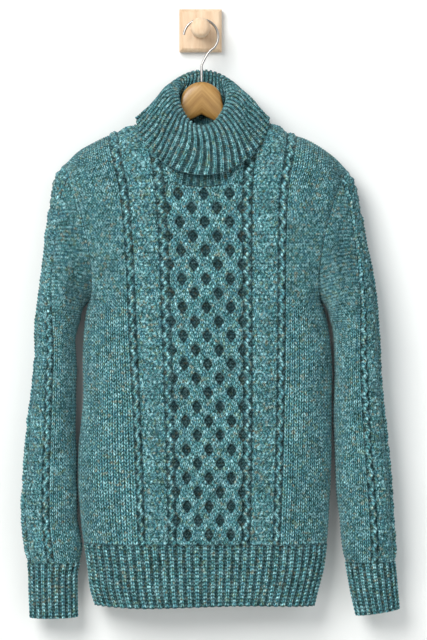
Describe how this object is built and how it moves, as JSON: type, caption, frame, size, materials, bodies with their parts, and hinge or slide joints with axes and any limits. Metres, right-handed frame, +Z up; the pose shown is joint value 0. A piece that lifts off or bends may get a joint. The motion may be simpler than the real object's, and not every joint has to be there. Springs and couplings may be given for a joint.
{
  "type": "cable-knit turtleneck sweater on a wooden hanger and wall peg",
  "caption": "Long-sleeved turtleneck sweater in cable and honeycomb knit with ribbed collar, cuffs and hem, hanging on a wooden hanger from a wall peg.",
  "frame": {"origin": "centre of the wall plate's back face", "axes": "+Y into the wall, +Z up, +X to the viewer's right; the garment hangs in front of the wall at negative Y"},
  "size_m": [0.4931, 0.105, 0.8],
  "materials": {
    "wool_front": "heathered teal wool, cable knit",
    "wool_back": "heathered teal wool, stocking stitch",
    "wool_sleeve": "heathered teal wool, cable knit",
    "wool_rib": "heathered teal wool, ribbed",
    "wool_collar": "heathered teal wool, ribbed",
    "hanger_wood": "satin varnished golden wood",
    "hook_steel": "plain steel wire",
    "peg_wood": "pale smooth wood"
  },
  "bodies": {
    "root": {"front_panel": "wool_front", "back_panel": "wool_back", "left_sleeve": "wool_sleeve", "right_sleeve": "wool_sleeve", "left_cuff": "wool_rib", "right_cuff": "wool_rib", "hem_rib_front": "wool_rib", "hem_rib_back": "wool_rib", "collar": "wool_collar", "hanger": "hanger_wood", "hanger_hook": "hook_steel", "wall_knob": "peg_wood", "wall_plate": "peg_wood"}
  },
  "joints": []
}
